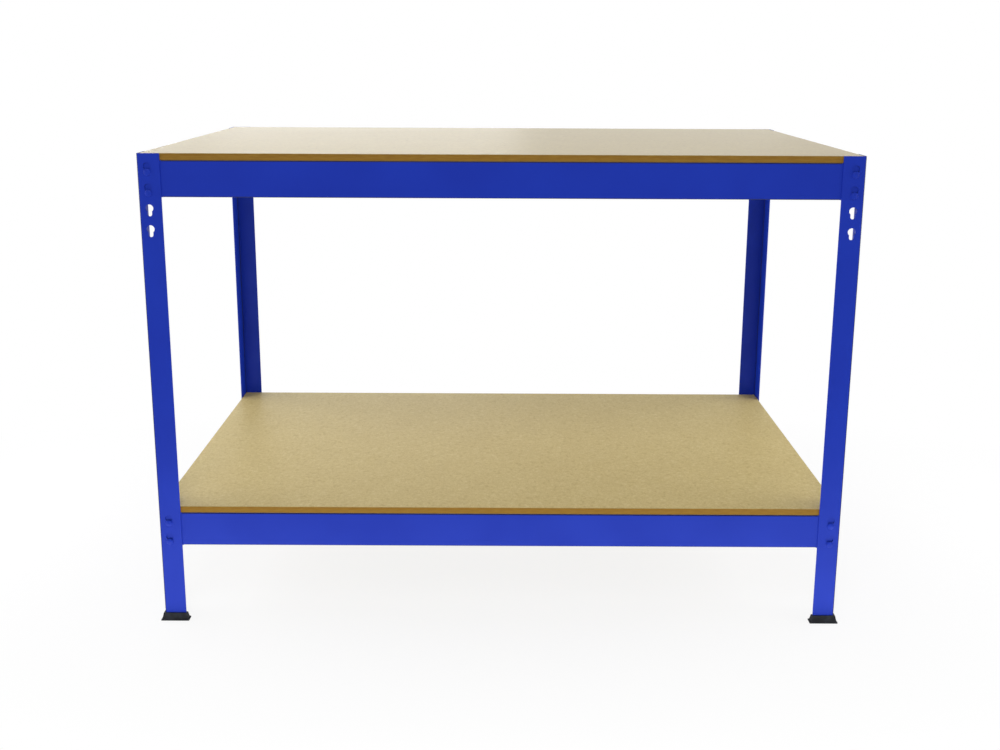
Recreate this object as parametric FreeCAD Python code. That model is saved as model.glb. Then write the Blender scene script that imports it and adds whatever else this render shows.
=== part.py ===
import FreeCAD, Part
import math
import os

from FreeCAD import Vector

# A two-tier boltless workbench: four folded angle posts, eight beams hooked into the posts'
# keyholes by rivets, two loose boards lying on the beams, and a moulded foot under each post.
# Millimetres, +Z up. The origin is on the floor under the middle of the bench, the front faces -Y.

# Whole bench, measured over the outer faces of the posts
bench_width = 1200.0
bench_depth = 600.0
bench_height = 838.0  # floor to post tops, which the worktop is level with
shelf_height = 216.0  # floor to the upper face of the lower board

# Boards, laid loose on the beams and inside the posts
worktop_thickness = 12.0
shelf_thickness = 12.0
board_clearance = 1.0  # edge of a board to the inside of a post leg
board_arris = 0.6  # small bevel along every edge

# Posts, sheet steel folded to an equal angle
post_leg = 38.0
post_wall = 1.5
post_bend = 3.0  # outside radius of the fold

# Keyholes, alike in both legs of a post: a round entry above a narrower slot
keyhole_edge = 17.0  # outer face of the other leg to the keyhole's centre line
keyhole_entry_radius = 6.5
keyhole_slot_radius = 4.0
keyhole_drop = 9.5  # centre of the entry down to the seat at the slot's end
keyhole_pitch = 35.0
spare_keyholes = 2  # in each leg, below the pair that holds the worktop's beam

# Beams, sheet steel folded to a web with a ledge at the top and a stiffening lip at the bottom
beam_height = 61.0
beam_wall = 1.2
beam_bend = 2.0  # outside radius of both folds
ledge_width = 26.0
lip_width = 11.0
beam_end_gap = 5.0  # outer face of a post to the end of the web tucked behind it
ledge_setback = 2.0  # end of a post's leg to the start of the ledge and the lip

# Rivets, a pair at each end of a beam: head outside the post, tail upset inside the web
rivets_per_end = 2
lower_rivet_rise = 7.0  # underside of the beam to the centre of its lower rivets
rivet_head_radius = 6.0
rivet_head_height = 2.4
rivet_head_rim = 0.7  # straight edge of the head below its dome
rivet_head_crown_share = 0.55  # flat of the dome, as a share of the head's radius
rivet_tail_radius = 4.9
rivet_tail_height = 1.5
rivet_tail_crown_share = 0.75
rivet_slot_clearance = 0.3  # shank to the side of the slot
rivet_hole_clearance = 0.2  # shank to the hole in the web

# Feet, moulded boots that the posts stand in, flared towards a base lip
foot_height = 13.0
foot_floor = 4.0  # floor to the post's lower end inside the boot
foot_lip_height = 2.4
foot_lip_overhang = 6.0  # each overhang is measured out from the post's sheet
foot_base_overhang = 4.2
foot_top_overhang = 2.3
foot_corner_bevel = 1.2
foot_clearance = 0.2  # post to the wall of its socket

# Small round forms that repeat many times are drawn with flats, all others with true arcs
rivet_side_count = 10
held_entry_flat_count = 8
held_slot_flat_count = 6

overrun = 1.0  # how far cutting tools reach past the faces that they open

# Places that follow from the sizes
worktop_underside = bench_height - worktop_thickness
shelf_underside = shelf_height - shelf_thickness
shank_radius = keyhole_slot_radius - rivet_slot_clearance
levels = {"top": worktop_underside, "lower": shelf_underside}

# Sides in the order met going round the bench, each a quarter turn about +Z on from the last,
# and the corner at each side's left end as seen from outside
side_names = ("front", "right", "rear", "left")
corner_names = ("front_left", "front_right", "rear_right", "rear_left")


def arc_edges(start, middle, end, flat_count=0):
    """Edges of the arc through three points: one true arc, or a number of equal flats."""
    arc = Part.Arc(start, middle, end).toShape()
    if flat_count == 0:
        return [arc]
    points = arc.discretize(Number=flat_count + 1)
    return [Part.makeLine(here, there) for here, there in zip(points, points[1:])]


def ways_from_corner(points, index):
    """Directions from one corner of a closed outline to the corners before and after it."""
    before = points[index - 1] - points[index]
    after = points[(index + 1) % len(points)] - points[index]
    return before.normalize(), after.normalize()


def rounded_loop(points, radii):
    """Closed wire through the points, each corner rounded to its own radius."""
    starts, ends, edges = [], [], []
    for index, (corner, radius) in enumerate(zip(points, radii)):
        before, after = ways_from_corner(points, index)
        half_angle = before.getAngle(after) / 2
        trim = radius / math.tan(half_angle)
        starts.append(corner + before * trim)
        ends.append(corner + after * trim)
        if radius > 0:
            inward = (before + after).normalize()
            middle = corner + inward * (radius / math.sin(half_angle) - radius)
            edges += arc_edges(starts[index], middle, ends[index])
    for index, end in enumerate(ends):
        edges.append(Part.makeLine(end, starts[(index + 1) % len(points)]))
    return Part.Wire(Part.__sortEdges__(edges))


def angle_corners(overhang, height):
    """Six corners of the post's angle section, grown on every side, at a height."""
    near = -overhang
    inside = post_wall + overhang
    far = post_leg + overhang
    plan = ((near, near), (far, near), (far, inside), (inside, inside), (inside, far), (near, far))
    return [Vector(x, y, height) for x, y in plan]


def angle_section(overhang, height):
    """The post's folded section, or the same section grown by a clearance."""
    outer_bend = post_bend + overhang
    inner_bend = max(post_bend - post_wall - overhang, 0)
    return rounded_loop(angle_corners(overhang, height), (outer_bend, 0, 0, inner_bend, 0, 0))


def boot_ring(overhang, height):
    """Outline of a foot at a height: the angle grown by an overhang, each corner bevelled."""
    points = angle_corners(overhang, height)
    ring = []
    for index, corner in enumerate(points):
        ring += [corner + way * foot_corner_bevel for way in ways_from_corner(points, index)]
    return ring


def turned_ring(radius, place):
    """Regular polygon square to the Y axis, with its corners on a radius."""
    turns = [2 * math.pi * side / rivet_side_count for side in range(rivet_side_count)]
    return [Vector(radius * math.cos(turn), place, radius * math.sin(turn)) for turn in turns]


def ringed_solid(rings):
    """Flat-sided solid through closed rings, each with as many corners as the next."""
    outlines = [rings[0], rings[-1]]
    for here, there in zip(rings, rings[1:]):
        outlines += [[here[i - 1], here[i], there[i], there[i - 1]] for i in range(len(here))]
    faces = [Part.Face(Part.makePolygon(outline + outline[:1])) for outline in outlines]
    return Part.makeSolid(Part.makeShell(faces)).removeSplitter()


def keyhole_cutter(seat, entry_flat_count=0, slot_flat_count=0):
    """Cutter for one keyhole in the leg along X, with its seat at a height."""
    entry = seat + keyhole_drop
    neck = entry - math.sqrt(keyhole_entry_radius**2 - keyhole_slot_radius**2)

    def at(x, z):
        return Vector(keyhole_edge + x, -overrun, z)

    left_neck, right_neck = at(-keyhole_slot_radius, neck), at(keyhole_slot_radius, neck)
    left_end, right_end = at(-keyhole_slot_radius, seat), at(keyhole_slot_radius, seat)
    entry_top = at(0, entry + keyhole_entry_radius)
    slot_bottom = at(0, seat - keyhole_slot_radius)
    edges = arc_edges(right_neck, entry_top, left_neck, entry_flat_count)
    edges.append(Part.makeLine(left_neck, left_end))
    edges += arc_edges(left_end, slot_bottom, right_end, slot_flat_count)
    edges.append(Part.makeLine(right_end, right_neck))
    return Part.Face(Part.Wire(edges)).extrude(Vector(0, post_wall + 2 * overrun, 0))


def rivet_rises():
    """Heights of a beam's rivets above its underside."""
    return [lower_rivet_rise + keyhole_pitch * step for step in range(rivets_per_end)]


def keyhole_cutters():
    """Cutters for the leg along X: keyholes that hold a beam's rivets, then the spare ones."""
    cutters = []
    for underside in levels.values():
        for rise in rivet_rises():
            seat = underside - beam_height + rise
            cutters.append(keyhole_cutter(seat, held_entry_flat_count, held_slot_flat_count))
    lowest_held = worktop_underside - beam_height + lower_rivet_rise
    for step in range(spare_keyholes):
        cutters.append(keyhole_cutter(lowest_held - keyhole_pitch * (step + 1)))
    return cutters


def make_post():
    """An angle post with its fold at the origin, legs along +X and +Y, keyholes in both legs."""
    length = bench_height - foot_floor
    blank = Part.Face(angle_section(0, foot_floor)).extrude(Vector(0, 0, length))
    cutters = keyhole_cutters()
    mirrored = [cutter.mirror(Vector(0, 0, 0), Vector(1, -1, 0)) for cutter in cutters]
    return blank.cut(cutters + mirrored)


def make_foot():
    """A boot for the post at the origin: base lip, tapered wall and a socket for the angle."""
    boot = ringed_solid(
        [
            boot_ring(foot_lip_overhang, 0),
            boot_ring(foot_lip_overhang, foot_lip_height),
            boot_ring(foot_base_overhang, foot_lip_height),
            boot_ring(foot_top_overhang, foot_height),
        ]
    )
    socket_depth = foot_height - foot_floor + overrun
    socket = Part.Face(angle_section(foot_clearance, foot_floor)).extrude(Vector(0, 0, socket_depth))
    return boot.cut(socket)


def beam_section(start):
    """Folded section of a beam across X, the web's outer face on Y zero, its underside on Z zero."""
    under_ledge = beam_height - beam_wall
    outline = (
        (0, 0),
        (lip_width, 0),
        (lip_width, beam_wall),
        (beam_wall, beam_wall),
        (beam_wall, under_ledge),
        (ledge_width, under_ledge),
        (ledge_width, beam_height),
        (0, beam_height),
    )
    inner_bend = max(beam_bend - beam_wall, 0)
    radii = (beam_bend, 0, 0, inner_bend, inner_bend, 0, 0, beam_bend)
    return rounded_loop([Vector(start, y, z) for y, z in outline], radii)


def rivet_places(span):
    """Centres of a beam's rivets on its web, X along the beam and Z up from its underside."""
    reach = span / 2 - keyhole_edge
    return [Vector(x, 0, rise) for x in (-reach, reach) for rise in rivet_rises()]


def make_beam(span):
    """A beam for posts whose outer faces are a span apart: folded middle, flat tab at each end."""
    web_end = span / 2 - beam_end_gap
    fold_end = span / 2 - post_leg - ledge_setback
    folded = Part.Face(beam_section(-fold_end)).extrude(Vector(2 * fold_end, 0, 0))
    web = Part.makeBox(2 * web_end, beam_wall, beam_height, Vector(-web_end, 0, 0))
    between = Part.makeBox(2 * fold_end, beam_wall, beam_height, Vector(-fold_end, 0, 0))
    beam = folded.fuse(web.cut(between)).removeSplitter()
    hole_radius = shank_radius + rivet_hole_clearance
    hole = ringed_solid([turned_ring(hole_radius, y) for y in (-overrun, beam_wall + overrun)])
    return beam.cut([hole.translated(place) for place in rivet_places(span)])


def make_rivet():
    """One rivet along Y: head on the post's outer face, shank in the slot, tail behind the web."""
    return ringed_solid(
        [
            turned_ring(rivet_head_radius * rivet_head_crown_share, -post_wall - rivet_head_height),
            turned_ring(rivet_head_radius, -post_wall - rivet_head_rim),
            turned_ring(rivet_head_radius, -post_wall),
            turned_ring(shank_radius, -post_wall),
            turned_ring(shank_radius, beam_wall),
            turned_ring(rivet_tail_radius, beam_wall),
            turned_ring(rivet_tail_radius * rivet_tail_crown_share, beam_wall + rivet_tail_height),
        ]
    )


def make_rivet_group(span):
    """All rivets of one beam, as separate solids in one group."""
    rivet = make_rivet()
    return Part.makeCompound([rivet.translated(place) for place in rivet_places(span)])


def make_board(thickness, underside):
    """A board that fills the bench inside the posts' legs, with a small bevel on every edge."""
    inset = post_wall + board_clearance
    length = bench_width - 2 * inset
    width = bench_depth - 2 * inset
    board = Part.makeBox(length, width, thickness, Vector(-length / 2, -width / 2, underside))
    return board.makeChamfer(board_arris, board.Edges)


def side_lengths(turn_count):
    """Length of a side and the bench's size across it, which swap with every quarter turn."""
    lengths = (bench_width, bench_depth)
    return lengths if turn_count % 2 == 0 else lengths[::-1]


def set_round(shape, place, turn_count):
    """A copy moved from the origin to its place at the front, then turned to its own side."""
    placed = shape.translated(place)
    placed.rotate(Vector(0, 0, 0), Vector(0, 0, 1), math.degrees(turn_count * math.pi / 2))
    return placed


def write_node(name, shape):
    """Writes one named piece, or one group of like pieces, to its own file."""
    shape.exportStep(os.path.join("parts", name + ".step"))
    print(name, len(shape.Solids), shape.isValid(), round(shape.Volume))


def main():
    """Builds every piece of the bench and writes it."""
    os.makedirs("parts", exist_ok=True)
    post, foot = make_post(), make_foot()
    for turn_count, (side, corner) in enumerate(zip(side_names, corner_names)):
        span, across = side_lengths(turn_count)
        left_end = Vector(-span / 2, -across / 2, 0)
        write_node(corner + "_post", set_round(post, left_end, turn_count))
        write_node(corner + "_foot", set_round(foot, left_end, turn_count))
        beam, rivets = make_beam(span), make_rivet_group(span)
        for level, underside in levels.items():
            behind_posts = Vector(0, post_wall - across / 2, underside - beam_height)
            write_node(level + "_" + side + "_beam", set_round(beam, behind_posts, turn_count))
            write_node(level + "_" + side + "_rivets", set_round(rivets, behind_posts, turn_count))
    write_node("worktop_board", make_board(worktop_thickness, worktop_underside))
    write_node("lower_board", make_board(shelf_thickness, shelf_underside))


main()
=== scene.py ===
"""Looks of a two-tier boltless workbench: blue powder coat, wood-fibre boards and moulded feet.

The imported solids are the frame. Posts, beams and boards keep their solids and get a finish. Rivets and
feet are surfaces of their own, rounder than the solids that they stand for. Lengths are in metres, +Z is
up, and the front of the bench faces -Y.
"""

import logging
import math
from dataclasses import dataclass
from enum import Enum
from typing import Any

import bpy
import numpy as np
from mathutils import Matrix, Vector
from numpy.typing import NDArray

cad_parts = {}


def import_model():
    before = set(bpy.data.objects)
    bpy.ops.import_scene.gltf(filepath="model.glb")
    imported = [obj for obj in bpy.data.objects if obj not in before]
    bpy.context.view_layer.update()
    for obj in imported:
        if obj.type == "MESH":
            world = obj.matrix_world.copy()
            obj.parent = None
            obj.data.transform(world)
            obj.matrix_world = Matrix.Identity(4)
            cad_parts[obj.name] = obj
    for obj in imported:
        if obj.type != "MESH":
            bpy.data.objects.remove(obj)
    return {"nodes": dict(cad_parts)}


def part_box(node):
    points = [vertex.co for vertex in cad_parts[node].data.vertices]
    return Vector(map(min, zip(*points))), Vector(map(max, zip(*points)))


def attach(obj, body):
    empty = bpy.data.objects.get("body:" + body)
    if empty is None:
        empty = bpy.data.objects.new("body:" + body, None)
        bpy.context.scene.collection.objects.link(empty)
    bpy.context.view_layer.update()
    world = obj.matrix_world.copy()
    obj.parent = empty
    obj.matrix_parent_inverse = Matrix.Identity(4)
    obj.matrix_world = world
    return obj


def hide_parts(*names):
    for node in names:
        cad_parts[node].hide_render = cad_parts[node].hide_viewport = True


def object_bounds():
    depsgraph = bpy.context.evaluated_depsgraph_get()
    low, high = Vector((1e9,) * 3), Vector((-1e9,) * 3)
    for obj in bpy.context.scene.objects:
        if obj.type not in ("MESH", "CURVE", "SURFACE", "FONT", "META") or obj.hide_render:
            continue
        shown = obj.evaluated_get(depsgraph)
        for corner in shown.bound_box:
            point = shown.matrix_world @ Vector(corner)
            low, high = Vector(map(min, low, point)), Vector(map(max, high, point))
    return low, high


frame: dict[str, Any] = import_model()
cad_box: tuple[Vector, Vector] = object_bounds()

log = logging.getLogger("workbench")

Colour = tuple[float, float, float]
Place = tuple[float, float, float]
Span = tuple[float, float]
Socket = bpy.types.NodeSocket
Points = NDArray[np.float64]
Indices = NDArray[np.int64]

PICTURE_WIDTH, PICTURE_HEIGHT = 1000, 750  # pixels
MM = 0.001
QUARTER_TURN = math.pi / 2
UP = np.array([0.0, 0.0, 1.0])
WHITE: Colour = (1.0, 1.0, 1.0)


class Side(Enum):
    """A side of the bench, with the direction in which it faces."""

    FRONT = (0.0, -1.0, 0.0)
    RIGHT = (1.0, 0.0, 0.0)
    REAR = (0.0, 1.0, 0.0)
    LEFT = (-1.0, 0.0, 0.0)

    @property
    def word(self) -> str:
        """The side's word in the names of nodes."""
        return self.name.lower()


class Corner(Enum):
    """A corner of the bench: quarter turns of its post, and on which end of X and of Y it stands."""

    FRONT_LEFT = (0, 0, 0)
    FRONT_RIGHT = (1, 1, 0)
    REAR_RIGHT = (2, 1, 1)
    REAR_LEFT = (3, 0, 1)

    @property
    def word(self) -> str:
        """The corner's word in the names of nodes."""
        return self.name.lower()


class Level(Enum):
    """One of the two tiers, with its board's node."""

    TOP = "worktop_board"
    LOWER = "lower_board"

    @property
    def word(self) -> str:
        """The tier's word in the names of beams and rivets."""
        return self.name.lower()


class ShaderGraph:
    """Nodes of one material or world, with short methods for the nodes that the finishes share."""

    def __init__(self, tree: bpy.types.NodeTree) -> None:
        """Starts with an empty tree.

        Args:
            tree: node tree of a material or a world.
        """
        self.tree = tree
        self.tree.nodes.clear()

    def node(self, kind: str, **inputs: Any) -> bpy.types.Node:
        """Adds a node and fills its inputs.

        Args:
            kind: node type, without the "ShaderNode" it starts with.
            **inputs: by input name with spaces as underscores, a socket to link from or a plain value.

        Returns:
            The new node.
        """
        made = self.tree.nodes.new("ShaderNode" + kind)
        for name, value in inputs.items():
            self.fill(made.inputs[name.replace("_", " ")], value)
        return made

    def fill(self, socket: Socket, value: Any) -> None:
        """Links a socket, or sets its value.

        Args:
            socket: input to fill.
            value: an output socket, a number, or a colour of three numbers.
        """
        if isinstance(value, Socket):
            self.tree.links.new(value, socket)
        elif isinstance(value, tuple) and socket.type == "RGBA":
            socket.default_value = (*value, 1.0)
        else:
            socket.default_value = value

    def place(self, offset: Place = (0.0, 0.0, 0.0), scale: Place = (1.0, 1.0, 1.0)) -> Socket:
        """Object coordinates, moved and stretched.

        Args:
            offset: how far the pattern is moved, in metres.
            scale: stretch along each axis.

        Returns:
            The vector socket.
        """
        coordinates = self.node("TexCoord").outputs["Object"]
        return self.node("Mapping", Vector=coordinates, Location=offset, Scale=scale).outputs["Vector"]

    def facing(self) -> bpy.types.bpy_prop_collection:
        """X, Y and Z sockets of the surface's normal, along the bench's axes."""
        return self.node("SeparateXYZ", Vector=self.node("TexCoord").outputs["Normal"]).outputs

    def noise(self, place: Socket, per_metre: float, detail: float = 2.0) -> Socket:
        """Smooth noise from 0 to 1.

        Args:
            place: vector socket.
            per_metre: how many blotches lie on a metre.
            detail: octaves of finer noise.

        Returns:
            The value socket.
        """
        return self.node("TexNoise", Vector=place, Scale=per_metre, Detail=detail).outputs["Fac"]

    def span(self, value: Socket, source: Span, result: Span) -> Socket:
        """Carries a stretch of values over to another, and holds it beyond both ends.

        Args:
            value: socket to read.
            source: values that give the two ends of the result.
            result: what they give.

        Returns:
            The value socket.
        """
        (low, high), (to_low, to_high) = source, result
        made = self.node(
            "MapRange", Value=value, From_Min=low, From_Max=high, To_Min=to_low, To_Max=to_high
        )
        return made.outputs["Result"]

    def math(self, operation: str, first: Any, second: Any = 0.0) -> Socket:
        """One sum on two values.

        Args:
            operation: Blender's word for it, such as "MULTIPLY".
            first: socket or number.
            second: socket or number.

        Returns:
            The value socket.
        """
        made = self.node("Math")
        made.operation = operation
        self.fill(made.inputs[0], first)
        self.fill(made.inputs[1], second)
        return made.outputs["Value"]

    def blend(self, share: Any, first: Any, second: Any) -> Socket:
        """Blends two colours.

        Args:
            share: how much of the second, socket or number.
            first: colour or socket.
            second: colour or socket.

        Returns:
            The colour socket.
        """
        made = self.node("Mix")
        made.data_type = "RGBA"
        shares = [socket for socket in made.inputs if socket.type == "VALUE"]
        colours = [socket for socket in made.inputs if socket.type == "RGBA"]
        self.fill(shares[0], share)
        self.fill(colours[0], first)
        self.fill(colours[1], second)
        return next(socket for socket in made.outputs if socket.type == "RGBA")

    def bump(self, height: Socket, depth: float, strength: float) -> Socket:
        """Normal of a surface with a fine relief.

        Args:
            height: socket from 0 to 1.
            depth: height of the relief in metres.
            strength: share of the relief that shows.

        Returns:
            The normal socket.
        """
        return self.node("Bump", Height=height, Distance=depth, Strength=strength).outputs["Normal"]

    def seen_directly(self) -> Socket:
        """1 for rays from the camera, in a reflection or through glass, and 0 for light on the bench.

        Returns:
            The value socket.
        """
        ray = self.node("LightPath").outputs
        either = self.math("MAXIMUM", ray["Is Camera Ray"], ray["Is Glossy Ray"])
        return self.math("MAXIMUM", either, ray["Is Transmission Ray"])

    def surface(self, **inputs: Any) -> None:
        """Ends a material in one principled surface, with inputs as node() takes them."""
        shader = self.node("BsdfPrincipled", **inputs)
        self.tree.links.new(shader.outputs["BSDF"], self.node("OutputMaterial").inputs["Surface"])


def new_material(name: str) -> tuple[bpy.types.Material, ShaderGraph]:
    """A material with an empty graph.

    Args:
        name: the finish's name.

    Returns:
        The material and its graph.
    """
    material = bpy.data.materials.new(name)
    material.use_nodes = True
    return material, ShaderGraph(material.node_tree)


@dataclass(frozen=True)
class PowderCoat:
    """Satin blue powder coat: a fine orange peel and an uneven film, with painted shade along the folds.
    """

    name: str
    fold_shade_share: float
    colour: Colour = (0.0085, 0.0385, 0.475)
    thick_colour: Colour = (0.0065, 0.0300, 0.410)
    # Painted shade: near-black navy that is blended in round every fold.
    fold_shade_colour: Colour = (0.003, 0.006, 0.045)
    fold_shade_span: Span = (0.90, 0.985)
    specular: float = 0.18
    roughness: Span = (0.38, 0.50)
    roughness_span: Span = (0.3, 0.7)
    cloud_per_metre: float = 7.0
    cloud_span: Span = (0.35, 0.65)
    cloud_share: float = 0.6
    grain_per_metre: float = 1400.0
    grain_detail: float = 1.0
    grain_span: Span = (0.3, 0.7)
    grain_share: float = 0.4
    peel_per_metre: float = 520.0
    peel_depth: float = 0.04 * MM
    peel_strength: float = 0.5

    def material(self) -> bpy.types.Material:
        """Builds the finish: clouds of thicker film, a grain of powder, painted shade on the folds and the
        peel's relief.

        The largest of |x|, |y| and |z| of the normal is 1 on every flat of the posts and beams, and less
        round a fold.

        Returns:
            The material.
        """
        material, graph = new_material(self.name)
        place = graph.place()
        cloud = graph.noise(place, self.cloud_per_metre)
        clouds = graph.span(cloud, self.cloud_span, (0.0, self.cloud_share))
        grain = graph.noise(place, self.grain_per_metre, self.grain_detail)
        grains = graph.span(grain, self.grain_span, (0.0, self.grain_share))
        film = graph.blend(graph.math("ADD", clouds, grains), self.colour, self.thick_colour)
        peel = graph.noise(place, self.peel_per_metre)
        facing = graph.facing()
        turned = [graph.math("ABSOLUTE", facing[axis]) for axis in "XYZ"]
        squareness = graph.math("MAXIMUM", graph.math("MAXIMUM", turned[0], turned[1]), turned[2])
        # Painted shade: where the normal is off square, round a fold, the colour darkens towards
        # near-black navy.
        fold = graph.span(squareness, self.fold_shade_span, (self.fold_shade_share, 0.0))
        graph.surface(
            Base_Color=graph.blend(fold, film, self.fold_shade_colour),
            Roughness=graph.span(cloud, self.roughness_span, self.roughness),
            Specular_IOR_Level=self.specular,
            Normal=graph.bump(peel, self.peel_depth, self.peel_strength),
        )
        return material


@dataclass(frozen=True)
class BoardCut:
    """One board's cut: where its pattern starts, its tones, and how rough its faces are; the shelf's paler
    tones are painted light.
    """

    seed: Place
    face: Colour
    dark_face: Colour
    pale_face: Colour
    roughness: float


WORKTOP_CUT = BoardCut(
    seed=(0.37, 1.91, 0.0),
    face=(0.500, 0.383, 0.137),
    dark_face=(0.380, 0.266, 0.079),
    pale_face=(0.585, 0.474, 0.207),
    roughness=0.44,
)
# Painted light: the shelf is the same fibre board as the worktop, its tones made paler and less yellow to
# stand in for the light on the lower tier.
SHELF_CUT_PAINTED_PALER = BoardCut(
    seed=(4.73, 0.58, 0.0),
    face=(0.545, 0.430, 0.165),
    dark_face=(0.414, 0.299, 0.095),
    pale_face=(0.635, 0.532, 0.250),
    roughness=0.52,
)


@dataclass(frozen=True)
class FibreBoard:
    """Pressed wood fibre: pale speckled faces, and darker sawn edges with streaks along them."""

    name: str
    cut: BoardCut
    underside: float
    thickness: float
    specular: float = 0.20
    sheen: float = 0.25
    sheen_roughness: float = 0.30
    fibre_per_metre: float = 520.0
    fibre_squeeze: float = 0.35
    fibre_span: Span = (0.40, 0.60)
    fibre_depth: float = 0.06 * MM
    fibre_strength: float = 0.35
    plain_share: float = 0.62
    roughness_span: Span = (0.3, 0.7)
    roughness_swing: float = 0.07
    fleck_per_metre: float = 150.0
    fleck_detail: float = 4.0
    dark_fleck_span: Span = (0.58, 0.68)
    dark_fleck_share: float = 0.60
    pale_fleck_span: Span = (0.32, 0.42)
    pale_fleck_share: float = 0.55
    mottle_per_metre: float = 14.0
    mottle_detail: float = 3.0
    mottle_span: Span = (0.35, 0.65)
    mottle_share: float = 0.12
    edge: Colour = (0.255, 0.130, 0.017)
    pale_edge: Colour = (0.355, 0.197, 0.030)
    edge_span: Span = (0.45, 0.80)
    edge_roughness: float = 0.85
    streak_squeeze: float = 0.12
    streak_detail: float = 3.0
    streak_span: Span = (0.40, 0.62)
    streak_share: float = 0.55
    low_share: float = 0.5
    # Painted shadow: near-black along the lowest 1.6 mm of the edges, where the board meets the beam.
    seam_shadow: Colour = (0.020, 0.014, 0.012)
    seam_shadow_height: float = 1.6 * MM
    seam_shadow_share: float = 0.9

    def fibres(self, graph: ShaderGraph) -> Socket:
        """Fibres that lie along the board and across it, half and half.

        Args:
            graph: graph to add the nodes to.

        Returns:
            The value socket, from 0 to 1.
        """
        squeeze = self.fibre_squeeze
        along = graph.noise(graph.place(self.cut.seed, (squeeze, 1.0, 1.0)), self.fibre_per_metre)
        across = graph.noise(graph.place(self.cut.seed, (1.0, squeeze, 1.0)), self.fibre_per_metre)
        return graph.math("MULTIPLY", graph.math("ADD", along, across), 0.5)

    def face_colour(self, graph: ShaderGraph, fibres: Socket) -> Socket:
        """Colour of the faces: fibres, dark and pale flecks, and a broad mottle.

        Args:
            graph: graph to add the nodes to.
            fibres: the fibres' value socket.

        Returns:
            The colour socket.
        """
        cut = self.cut
        place = graph.place(cut.seed)
        fleck = graph.noise(place, self.fleck_per_metre, self.fleck_detail)
        mottle = graph.noise(place, self.mottle_per_metre, self.mottle_detail)
        dark_flecks = graph.span(fleck, self.dark_fleck_span, (0.0, self.dark_fleck_share))
        pale_flecks = graph.span(fleck, self.pale_fleck_span, (self.pale_fleck_share, 0.0))
        mottles = graph.span(mottle, self.mottle_span, (0.0, self.mottle_share))
        pale_fibres = graph.span(fibres, self.fibre_span, (0.0, 1.0))
        colour = graph.blend(pale_fibres, cut.dark_face, cut.pale_face)
        colour = graph.blend(self.plain_share, colour, cut.face)
        colour = graph.blend(dark_flecks, colour, cut.dark_face)
        colour = graph.blend(pale_flecks, colour, cut.pale_face)
        return graph.blend(mottles, colour, cut.dark_face)

    def edge_colour(self, graph: ShaderGraph) -> Socket:
        """Colour of the sawn edges: streaks along them, paler downwards, with a painted shadow along the
        bottom where the board sits on the beam.

        Args:
            graph: graph to add the nodes to.

        Returns:
            The colour socket.
        """
        squeezed = graph.place(self.cut.seed, (self.streak_squeeze, self.streak_squeeze, 1.0))
        streak = graph.noise(squeezed, self.fibre_per_metre, self.streak_detail)
        streaks = graph.span(streak, self.streak_span, (0.0, self.streak_share))
        height = graph.node("SeparateXYZ", Vector=graph.node("TexCoord").outputs["Object"]).outputs["Z"]
        bottom = self.underside
        low_down = graph.span(height, (bottom, bottom + self.thickness), (self.low_share, 0.0))
        # Painted shadow: the bottom of the edge darkens to near-black, for the shadow gap at the beam.
        seam_shadow = graph.span(height, (bottom, bottom + self.seam_shadow_height), (self.seam_shadow_share, 0.0))
        colour = graph.blend(streaks, self.edge, self.pale_edge)
        colour = graph.blend(low_down, colour, self.pale_edge)
        return graph.blend(seam_shadow, colour, self.seam_shadow)

    def material(self) -> bpy.types.Material:
        """Builds the finish: face or edge, by how far the surface faces up or down.

        Returns:
            The material.
        """
        material, graph = new_material(self.name)
        fibres = self.fibres(graph)
        on_edge = graph.span(graph.math("ABSOLUTE", graph.facing()["Z"]), self.edge_span, (1.0, 0.0))
        middle, swing = self.cut.roughness, self.roughness_swing
        face_roughness = graph.span(fibres, self.roughness_span, (middle - swing, middle + swing))
        edge_roughness = graph.math("MULTIPLY", on_edge, self.edge_roughness)
        graph.surface(
            Base_Color=graph.blend(on_edge, self.face_colour(graph, fibres), self.edge_colour(graph)),
            Roughness=graph.math("MAXIMUM", face_roughness, edge_roughness),
            Specular_IOR_Level=self.specular,
            Sheen_Weight=self.sheen,
            Sheen_Roughness=self.sheen_roughness,
            Normal=graph.bump(fibres, self.fibre_depth, self.fibre_strength),
        )
        return material


@dataclass(frozen=True)
class MouldedFoot:
    """Matt black moulding with a fine leathery grain and a little dust."""

    colour: Colour = (0.010, 0.011, 0.014)
    dusty_colour: Colour = (0.030, 0.034, 0.042)
    specular: float = 0.2
    roughness: Span = (0.52, 0.70)
    dust_per_metre: float = 90.0
    dust_detail: float = 3.0
    dust_span: Span = (0.40, 0.70)
    dust_share: float = 0.8
    grain_per_metre: float = 1500.0
    grain_span: Span = (0.3, 0.7)
    grain_depth: float = 0.08 * MM
    grain_strength: float = 0.5

    def material(self) -> bpy.types.Material:
        """Builds the finish: dust in soft patches over a grained black skin.

        Returns:
            The material.
        """
        material, graph = new_material("black_foot")
        place = graph.place()
        dust = graph.noise(place, self.dust_per_metre, self.dust_detail)
        dusty = graph.span(dust, self.dust_span, (0.0, self.dust_share))
        grain = graph.noise(place, self.grain_per_metre)
        graph.surface(
            Base_Color=graph.blend(dusty, self.colour, self.dusty_colour),
            Roughness=graph.span(grain, self.grain_span, self.roughness),
            Specular_IOR_Level=self.specular,
            Normal=graph.bump(grain, self.grain_depth, self.grain_strength),
        )
        return material


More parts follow.
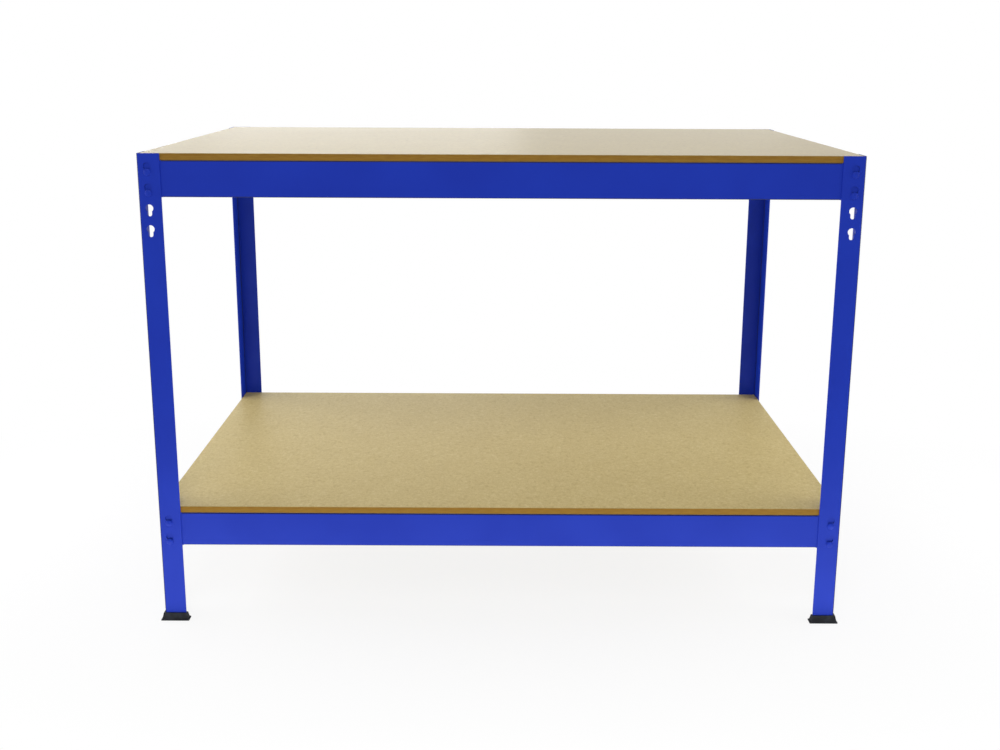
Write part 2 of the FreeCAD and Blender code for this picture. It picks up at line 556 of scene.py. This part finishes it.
@dataclass(frozen=True)
class FloorSheet:
    """White floor that keeps the bench's shadow: partly lit, partly as white as the background."""

    colour: Colour = (0.90, 0.90, 0.90)
    near_share: float = 0.85
    shift: Place = (0.0, -0.1, 0.0)
    squeeze: Place = (0.6, 1.35, 1.0)
    fade: Span = (0.5, 1.0)

    def material(self) -> bpy.types.Material:
        """Builds the finish: where it is seen it is mostly white, and all white further off.

        Returns:
            The material.
        """
        material, graph = new_material("floor_sheet")
        distance = graph.node("VectorMath")
        distance.operation = "LENGTH"
        graph.fill(distance.inputs[0], graph.place(self.shift, self.squeeze))
        share = graph.span(distance.outputs["Value"], self.fade, (self.near_share, 1.0))
        mixed = graph.node("MixShader", Fac=graph.math("MULTIPLY", graph.seen_directly(), share))
        graph.fill(mixed.inputs[1], graph.node("BsdfDiffuse", Color=self.colour).outputs["BSDF"])
        graph.fill(mixed.inputs[2], graph.node("Emission", Color=WHITE, Strength=1.0).outputs["Emission"])
        graph.node("OutputMaterial", Surface=mixed.outputs["Shader"])
        return material


def new_piece(name: str, points: Points, faces: list[list[int]], crease: float) -> bpy.types.Object:
    """Makes a smooth mesh object, with its place in its mesh.

    Args:
        name: the piece's name.
        points: places of the vertices, one row each.
        faces: vertex numbers of each face, counter-clockwise from outside.
        crease: angle in radians above which an edge stays sharp.

    Returns:
        The object, linked to the scene.
    """
    mesh = bpy.data.meshes.new(name)
    mesh.from_pydata(points, [], faces)
    mesh.polygons.foreach_set("use_smooth", np.ones(len(faces), dtype=bool))
    mesh.set_sharp_from_angle(angle=crease)
    mesh.validate()
    piece = bpy.data.objects.new(name, mesh)
    bpy.context.scene.collection.objects.link(piece)
    return piece


def band_faces(rings: int, around: int) -> Indices:
    """Quads between closed rings that follow each other.

    Point k of ring i has the number i * around + k. Each quad joins points k and k + 1 of a ring to the
    same points of the next ring.

    Args:
        rings: number of rings.
        around: points on each ring.

    Returns:
        One row of four vertex numbers per quad.
    """
    ring, here = np.meshgrid(np.arange(rings - 1), np.arange(around), indexing="ij")
    there = (here + 1) % around
    this_ring, next_ring = ring * around, (ring + 1) * around
    corners = (this_ring + here, this_ring + there, next_ring + there, next_ring + here)
    return np.stack(corners, axis=-1).reshape(-1, 4)


def dress(name: str, material: bpy.types.Material) -> None:
    """Puts a finish on a solid of the frame.

    Args:
        name: the solid's node.
        material: its finish.
    """
    node = frame["nodes"][name]
    if not node.material_slots:
        node.data.materials.append(material)
    for slot in node.material_slots:
        slot.material = material
    log.info("%s: %s", name, material.name)


@dataclass(frozen=True)
class SteelFrame:
    """Four folded posts and eight folded beams, shown as their solids."""

    coat: bpy.types.Material

    def build(self) -> None:
        """Puts the coat on every post and beam."""
        for corner in Corner:
            dress(f"{corner.word}_post", self.coat)
        for level in Level:
            for side in Side:
                dress(f"{level.word}_{side.word}_beam", self.coat)


@dataclass(frozen=True)
class Rivets:
    """The four rivets of one beam, each with a domed head, a shank and an upset tail."""

    level: Level
    side: Side
    head_radius: float = 6.0 * MM
    head_height: float = 2.4 * MM
    head_rim: float = 0.6 * MM
    rim_round: float = 0.25 * MM
    shank_radius: float = 3.7 * MM
    grip: float = 2.7 * MM
    tail_radius: float = 4.9 * MM
    tail_height: float = 1.5 * MM
    pitch: float = 35.0 * MM
    around: int = 32
    dome_steps: int = 8
    crease: float = math.radians(40)

    @property
    def node(self) -> str:
        """Node that these rivets stand for."""
        return f"{self.level.word}_{self.side.word}_rivets"

    def profile(self) -> Points:
        """Half section from the head's pole to the tail's, as radius and height above the post's face.

        The dome is a quarter of an ellipse over the rim, with radius R sin(u) and height
        rim + (H - rim) cos(u), for u from 0 to a quarter turn. The tail's dome is another, turned over.
        Rim, seat and shank are straight.

        Returns:
            One row per point.
        """
        turn = np.linspace(0.0, QUARTER_TURN, self.dome_steps)
        dome = self.head_height - self.head_rim
        head = np.column_stack((self.head_radius * np.sin(turn), self.head_rim + dome * np.cos(turn)))
        seat = np.array(
            [
                (self.head_radius, self.rim_round),
                (self.head_radius - self.rim_round, 0.0),
                (self.shank_radius, 0.0),
                (self.shank_radius, -self.grip),
                (self.tail_radius, -self.grip),
            ]
        )
        back = turn[::-1]
        depth = self.grip + self.tail_height * np.cos(back)
        tail = np.column_stack((self.tail_radius * np.sin(back), -depth))
        return np.vstack((head, seat, tail[1:]))

    def centres(self) -> Points:
        """Where the rivets' axes meet the post's outer face: two at each end of the beam, a pitch apart.

        Returns:
            One row per rivet.
        """
        low, high = (np.array(corner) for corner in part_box(self.node))
        outward = np.array(self.side.value)
        along = np.abs(np.cross(UP, outward))
        middle = (low + high) / 2
        face = np.where(outward > 0, high, low) - outward * self.head_height
        reach = ((high - low) / 2) @ along - self.head_radius
        base = middle * along + face * np.abs(outward) + middle * UP
        ends, rises = np.meshgrid((-reach, reach), (-self.pitch / 2, self.pitch / 2))
        return base + np.outer(ends.ravel(), along) + np.outer(rises.ravel(), UP)

    def one_rivet(self) -> tuple[Points, list[Indices]]:
        """One rivet at the origin: its profile turned about the axis.

        A point is height * outward + radius * (cos(angle) * across + sin(angle) * up).

        Returns:
            The points, ring by ring and then the two poles, and the faces in bands and fans.
        """
        outward = np.array(self.side.value)
        profile = self.profile()
        angle = np.linspace(0.0, 2 * math.pi, self.around, endpoint=False)
        across = np.cross(UP, outward)
        ring = np.outer(np.cos(angle), across) + np.outer(np.sin(angle), UP)
        rings = profile[1:-1, 0, None, None] * ring + (profile[1:-1, 1, None] * outward)[:, None, :]
        poles = profile[[0, -1], 1, None] * outward

        count = len(rings)
        head_pole, tail_pole = count * self.around, count * self.around + 1
        here = np.arange(self.around)
        there = (here + 1) % self.around
        last = (count - 1) * self.around
        quads = band_faces(count, self.around)[:, ::-1]
        head_fan = np.column_stack((np.full(self.around, head_pole), here, there))
        tail_fan = np.column_stack((np.full(self.around, tail_pole), last + there, last + here))
        return np.vstack((rings.reshape(-1, 3), poles)), [quads, head_fan, tail_fan]

    def build(self, coat: bpy.types.Material) -> bpy.types.Object:
        """Sets one rivet at each centre, as one piece.

        Args:
            coat: finish of the rivets.

        Returns:
            The piece.
        """
        centres = self.centres()
        one, groups = self.one_rivet()
        points = (centres[:, None, :] + one[None, :, :]).reshape(-1, 3)
        starts = len(one) * np.arange(len(centres))
        faces = [face for start in starts for group in groups for face in (group + start).tolist()]

        piece = new_piece(f"{self.node}_turned", points, faces, self.crease)
        piece.data.materials.append(coat)
        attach(piece, "frame")
        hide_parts(self.node)
        log.info("%s: %d rivets, %d faces", piece.name, len(centres), len(faces))
        return piece


@dataclass(frozen=True)
class Foot:
    """A moulded boot under one post, an angle in plan, flared towards a thin base lip."""

    corner: Corner
    leg: float = 38.0 * MM
    wall: float = 1.5 * MM
    fold: float = 3.0 * MM
    height: float = 13.0 * MM
    floor: float = 4.0 * MM
    lip_height: float = 2.4 * MM
    lip_overhang: float = 6.0 * MM
    base_overhang: float = 4.2 * MM
    top_overhang: float = 2.3 * MM
    clearance: float = 0.2 * MM
    corner_round: float = 0.8 * MM
    end_round_share: float = 0.45
    edge_round: float = 0.7 * MM
    sole_round: float = 0.25 * MM
    corner_steps: int = 6
    edge_steps: int = 4
    crease: float = math.radians(35)

    @property
    def node(self) -> str:
        """Node that this foot stands for."""
        return f"{self.corner.word}_foot"

    def outline(self, overhang: float) -> Points:
        """The post's angle grown by an overhang, each corner an arc.

        A corner between the directions a (in) and b (out) has its arc about corner - r a + r b, at
        centre - r b cos(s) + r a sin(s), for s from 0 to a quarter turn. That holds for the inside corner
        too. The socket's outer corner follows the post's fold.

        Args:
            overhang: distance out from the post's sheet.

        Returns:
            X and Y of the points, counter-clockwise from above.
        """
        near, inside, far = -overhang, self.wall + overhang, self.leg + overhang
        corners = np.array(
            [(near, near), (far, near), (far, inside), (inside, inside), (inside, far), (near, far)]
        )
        into = corners - np.roll(corners, 1, axis=0)
        into /= np.linalg.norm(into, axis=1, keepdims=True)
        out = np.roll(into, -1, axis=0)
        end_round = min(self.corner_round, self.end_round_share * (inside - near))
        inner_round = max(self.fold - self.wall - overhang, self.clearance)
        outer_round = self.fold + overhang if overhang <= self.clearance else self.corner_round
        rounds = (outer_round, end_round, end_round, inner_round, end_round, end_round)
        radius = np.array(rounds)[:, None, None]
        turn = np.linspace(0.0, QUARTER_TURN, self.corner_steps)[None, :, None]
        into, out = into[:, None, :], out[:, None, :]
        centre = corners[:, None, :] - radius * into + radius * out
        return (centre - radius * out * np.cos(turn) + radius * into * np.sin(turn)).reshape(-1, 2)

    def profile(self) -> Points:
        """Wall from the sole up, over the rim and down into the socket, as overhang and height.

        The sole's edge is a quarter round of a small radius e, with overhang o - e (1 - sin(s)) and height
        e (1 - cos(s)). The lip, the wall's root and the rim have larger ones.

        Returns:
            One row per ring.
        """
        turn = np.linspace(0.0, QUARTER_TURN, self.edge_steps)
        rise, fall = self.edge_round * (1 - np.cos(turn)), self.edge_round * (1 - np.sin(turn))
        shrink = self.sole_round / self.edge_round
        sole = np.column_stack((self.lip_overhang - fall * shrink, rise * shrink))
        lip = np.column_stack((self.lip_overhang - rise, self.lip_height - fall))
        root = np.column_stack((self.base_overhang + fall, self.lip_height + rise))
        rim = np.column_stack((self.top_overhang - rise, self.height - fall))
        socket = np.array([(self.clearance, self.height), (self.clearance, self.floor)])
        return np.vstack((sole, lip, root, rim, socket))

    def build(self, skin: bpy.types.Material) -> bpy.types.Object:
        """Carries the wall's profile round the outline, and closes the sole and the socket's floor.

        Args:
            skin: finish of the foot.

        Returns:
            The piece.
        """
        profile = self.profile()
        plans = np.stack([self.outline(overhang) for overhang in profile[:, 0]])
        count, around = plans.shape[:2]
        rises = np.broadcast_to(profile[:, 1, None, None], (count, around, 1))
        rings = np.concatenate((plans, rises), axis=2)
        quarter, end_x, end_y = self.corner.value
        box = np.array(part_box(f"{self.corner.word}_post"))
        turn = np.array(Matrix.Rotation(quarter * QUARTER_TURN, 3, "Z"))
        points = rings.reshape(-1, 3) @ turn.T + np.array((box[end_x, 0], box[end_y, 1], 0.0))
        faces = band_faces(count, around).tolist()
        faces.append(np.arange(around)[::-1].tolist())
        faces.append(((count - 1) * around + np.arange(around)).tolist())

        piece = new_piece(f"{self.node}_moulded", points, faces, self.crease)
        piece.data.materials.append(skin)
        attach(piece, "frame")
        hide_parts(self.node)
        log.info("%s: %d rings of %d points", piece.name, count, around)
        return piece


@dataclass(frozen=True)
class Board:
    """One loose board, shown as its solid."""

    level: Level
    cut: BoardCut

    def build(self) -> None:
        """Dresses the board in its own cut of fibre board."""
        low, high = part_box(self.level.value)
        finish = FibreBoard(f"{self.level.word}_fibre_board", self.cut, low.z, high.z - low.z)
        dress(self.level.value, finish.material())


@dataclass(frozen=True)
class SoftBox:
    """A flat studio lamp, with its place and the point that it looks at."""

    name: str
    place: Place
    target: Place
    width: float
    height: float
    level: float

    def build(self) -> None:
        """Adds the lamp, with a power of level * (pi * distance) squared.

        Level 1 lights a white card at the target to white.
        """
        away = Vector(self.place) - Vector(self.target)
        lamp = bpy.data.lights.new(self.name, "AREA")
        lamp.shape = "RECTANGLE"
        lamp.size, lamp.size_y = self.width, self.height
        lamp.energy = self.level * (math.pi * away.length) ** 2
        box = bpy.data.objects.new(self.name, lamp)
        box.visible_camera = False
        turn = away.to_track_quat("Z", "Y").to_matrix().to_4x4()
        box.matrix_world = Matrix.Translation(self.place) @ turn
        bpy.context.scene.collection.objects.link(box)
        log.info("lamp %s: %.0f W", self.name, lamp.energy)


@dataclass(frozen=True)
class Studio:
    """White floor, a white room that is brighter behind the bench and beside it, lamps and camera."""

    lamps: tuple[SoftBox, ...] = (
        SoftBox("front_box", (-0.3, -2.5, 3.0), (0.0, 0.0, 0.5), width=1.6, height=1.6, level=0.29),
        SoftBox("rear_box", (0.0, 2.2, 1.3), (0.0, 0.0, 0.2), width=2.4, height=0.6, level=0.04),
        SoftBox("rear_left_box", (-2.6, 6.0, 1.3), (0.0, 0.0, 0.5), width=6.0, height=0.8, level=0.20),
        SoftBox("left_box", (-1.4, 0.1, 0.70), (-0.3, 0.0, 0.22), width=1.2, height=0.5, level=0.58),
        SoftBox("right_box", (1.4, 0.0, 0.70), (0.3, 0.0, 0.22), width=1.2, height=0.5, level=0.54),
        SoftBox("floor_bounce", (0.0, -0.54, 0.004), (0.0, -0.54, 0.5), width=1.9, height=0.44, level=1.3),
    )
    floor_reach: float = 4.0
    floor_front: float = 0.45
    floor_drop: float = 0.2 * MM
    room_depth: Span = (0.48, 1.3)
    room_depth_span: Span = (-0.5, 0.7)
    room_right: float = 0.85
    room_right_span: Span = (-0.6, 0.6)
    room_sides: float = 1.6
    room_sides_span: Span = (0.4, 0.8)
    room_top: float = 0.15
    room_top_span: Span = (0.25, 0.7)
    focal_pixels: float = 983.0
    axis_row: float = 241.0
    camera_place: Place = (-0.0010, -1.9096, 0.9986)
    camera_yaw: float = -0.0005
    camera_pitch: float = 0.187
    camera_roll: float = 0.0043
    sensor: float = 36.0

    def build(self) -> None:
        """Builds floor, room light, lamps and camera."""
        self.lay_floor()
        self.light_room()
        for box in self.lamps:
            box.build()
        self.set_camera()

    def lay_floor(self) -> None:
        """Lays a flat sheet under the feet: far to the sides and the rear, short in front."""
        low, _ = cad_box
        reach, front = self.floor_reach, low.y - self.floor_front
        x, y = np.meshgrid((-reach, reach), (front, reach))
        points = np.column_stack((x.ravel(), y.ravel(), np.full(4, low.z - self.floor_drop)))
        sheet = new_piece("floor_sheet", points, [[0, 1, 3, 2]], crease=math.pi)
        sheet.data.materials.append(FloorSheet().material())
        log.info("floor laid at %.4f m", points[0, 2])

    def light_room(self) -> None:
        """Lights the room by direction, and makes it plain white where it is seen.

        The level is a product of four: from front to rear, from left to right, out to both sides, and up.
        """
        world = bpy.data.worlds.new("white_room")
        world.use_nodes = True
        bpy.context.scene.world = world
        graph = ShaderGraph(world.node_tree)
        direction = graph.node("SeparateXYZ", Vector=graph.node("TexCoord").outputs["Generated"]).outputs
        sideways = graph.math("ABSOLUTE", direction["X"])
        room = graph.span(direction["Y"], self.room_depth_span, self.room_depth)
        for value, source, end in (
            (direction["X"], self.room_right_span, self.room_right),
            (sideways, self.room_sides_span, self.room_sides),
            (direction["Z"], self.room_top_span, self.room_top),
        ):
            room = graph.math("MULTIPLY", room, graph.span(value, source, (1.0, end)))
        level = graph.node("Mix", Factor=graph.seen_directly(), A=room, B=1.0).outputs["Result"]
        background = graph.node("Background", Color=WHITE, Strength=level).outputs["Background"]
        graph.node("OutputWorld", Surface=background)

    def set_camera(self) -> None:
        """Sets the camera to look along (sin yaw cos pitch, cos yaw cos pitch, -sin pitch).

        The roll turns it about that line. The lens shift puts the line through the axis row.
        """
        yaw, pitch, roll = self.camera_yaw, self.camera_pitch, self.camera_roll
        forward = np.array(
            (math.sin(yaw) * math.cos(pitch), math.cos(yaw) * math.cos(pitch), -math.sin(pitch))
        )
        level = np.array((math.cos(yaw), -math.sin(yaw), 0.0))
        above = np.cross(level, forward)
        right = math.cos(roll) * level + math.sin(roll) * above
        up = math.cos(roll) * above - math.sin(roll) * level
        lens = bpy.data.cameras.new("camera")
        lens.sensor_width = self.sensor
        lens.lens = self.focal_pixels / PICTURE_WIDTH * self.sensor
        lens.shift_y = (self.axis_row - PICTURE_HEIGHT / 2) / PICTURE_WIDTH
        camera = bpy.data.objects.new("camera", lens)
        turn = Matrix(np.column_stack((right, up, -forward)).tolist()).to_4x4()
        camera.matrix_world = Matrix.Translation(self.camera_place) @ turn
        bpy.context.scene.collection.objects.link(camera)
        bpy.context.scene.camera = camera
        bpy.context.scene.view_settings.view_transform = "Standard"


def main() -> None:
    """Builds the bench piece by piece, then the studio round it."""
    logging.basicConfig(level=logging.INFO, format="%(name)s: %(message)s")
    # The frame's coat has painted shade on its folds; the rivets' coat has none.
    coat = PowderCoat("blue_powder_coat", fold_shade_share=0.9).material()
    rivet_coat = PowderCoat("blue_rivet_coat", fold_shade_share=0.0).material()
    skin = MouldedFoot().material()
    SteelFrame(coat).build()
    for level, cut in ((Level.TOP, WORKTOP_CUT), (Level.LOWER, SHELF_CUT_PAINTED_PALER)):
        Board(level, cut).build()
        for side in Side:
            Rivets(level, side).build(rivet_coat)
    for corner in Corner:
        Foot(corner).build(skin)
    Studio().build()


if __name__ == "__main__":
    main()
